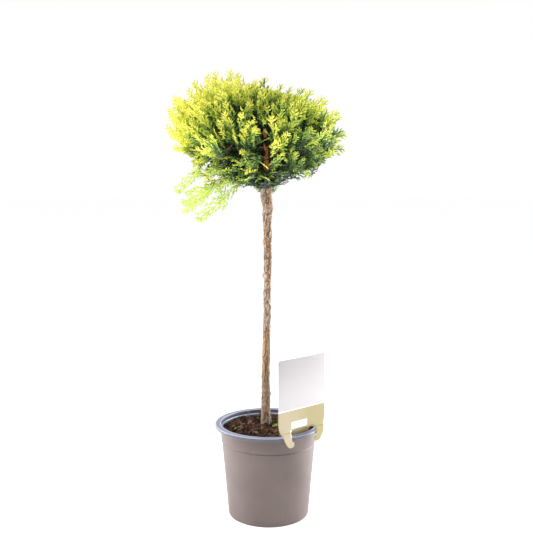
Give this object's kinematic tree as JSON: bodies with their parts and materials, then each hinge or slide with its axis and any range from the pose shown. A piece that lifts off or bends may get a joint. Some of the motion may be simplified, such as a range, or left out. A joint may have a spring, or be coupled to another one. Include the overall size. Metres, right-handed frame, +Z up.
{
  "type": "potted standard conifer",
  "caption": "Golden conifer grown as a small standard: a round head of flat feathery sprays on a bare stem, in a round nursery pot with a plain card hooked on its rim.",
  "frame": {"origin": "middle of the pot's flat underside, level with the surface it stands on", "axes": "+Z up along the pot's axis, -Y to the front, +X to the right as seen from the front"},
  "size_m": [0.2277, 0.2164, 0.6089],
  "materials": {
    "pot": "moulded taupe polypropylene, satin, blue-grey on the rim and inside",
    "potting_mix": "dark brown bark chips and peat with tan bits and green moss",
    "card": "smooth plastic sheet, pale grey above and dull gold below, blank",
    "bark": "grey-brown scaly bark with ochre patches",
    "young_bark": "smooth reddish-brown young bark",
    "foliage": "matt scale leaves, golden yellow at the tips and green inside"
  },
  "bodies": {
    "root": {"pot": "pot", "potting_mix": "potting_mix", "card": "card", "stem": "bark", "bough_drooping": "young_bark", "bough_lower_1": "young_bark", "bough_lower_2": "young_bark", "bough_lower_3": "young_bark", "bough_lower_4": "young_bark", "bough_lower_5": "young_bark", "bough_lower_6": "young_bark", "bough_lower_7": "young_bark", "bough_upper_1": "young_bark", "bough_upper_2": "young_bark", "bough_upper_3": "young_bark", "bough_upper_4": "young_bark", "bough_upper_5": "young_bark", "foliage_drooping": "foliage", "foliage_lower_1": "foliage", "foliage_lower_2": "foliage", "foliage_lower_3": "foliage", "foliage_lower_4": "foliage", "foliage_lower_5": "foliage", "foliage_lower_6": "foliage", "foliage_lower_7": "foliage", "foliage_top": "foliage", "foliage_upper_1": "foliage", "foliage_upper_2": "foliage", "foliage_upper_3": "foliage", "foliage_upper_4": "foliage", "foliage_upper_5": "foliage"}
  },
  "joints": []
}
